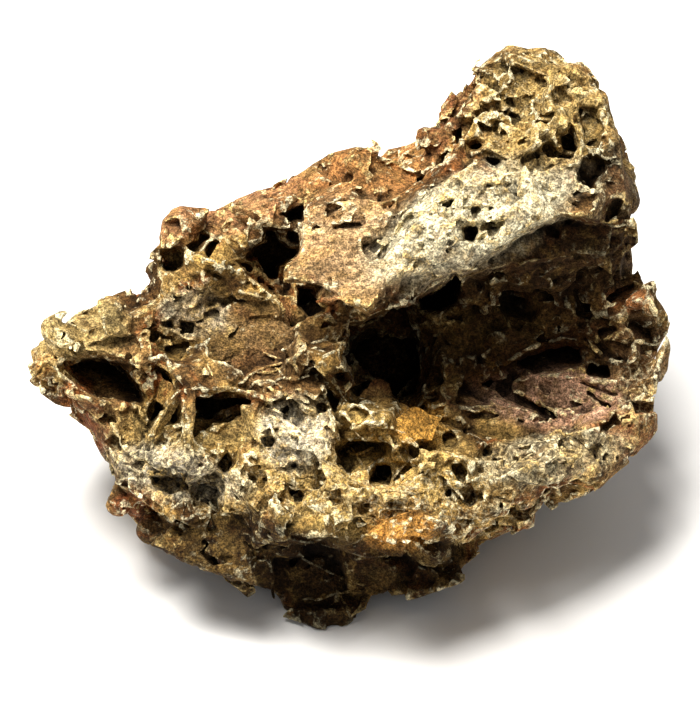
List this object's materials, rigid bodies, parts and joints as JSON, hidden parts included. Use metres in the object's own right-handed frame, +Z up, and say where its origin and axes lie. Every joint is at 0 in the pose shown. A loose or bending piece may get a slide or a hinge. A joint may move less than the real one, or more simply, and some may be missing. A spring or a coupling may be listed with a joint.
{
  "type": "aquascaping rock",
  "caption": "Craggy clay stone for an aquarium, with a raised horn, an overhanging brow, a deep recess and angular hollows; it rests on a flat underside.",
  "frame": {"origin": "middle of the footprint of the whole stone, on the surface that it rests on", "axes": "+X to the right along the show face, from the prong to the horn; +Y to the back of the stone; +Z up"},
  "size_m": [0.1582, 0.131, 0.1202],
  "materials": {
    "stone": "dull weathered clay stone, ochre and rust brown with pale crusts on its crests"
  },
  "bodies": {
    "root": {"stone": "stone"}
  },
  "joints": []
}
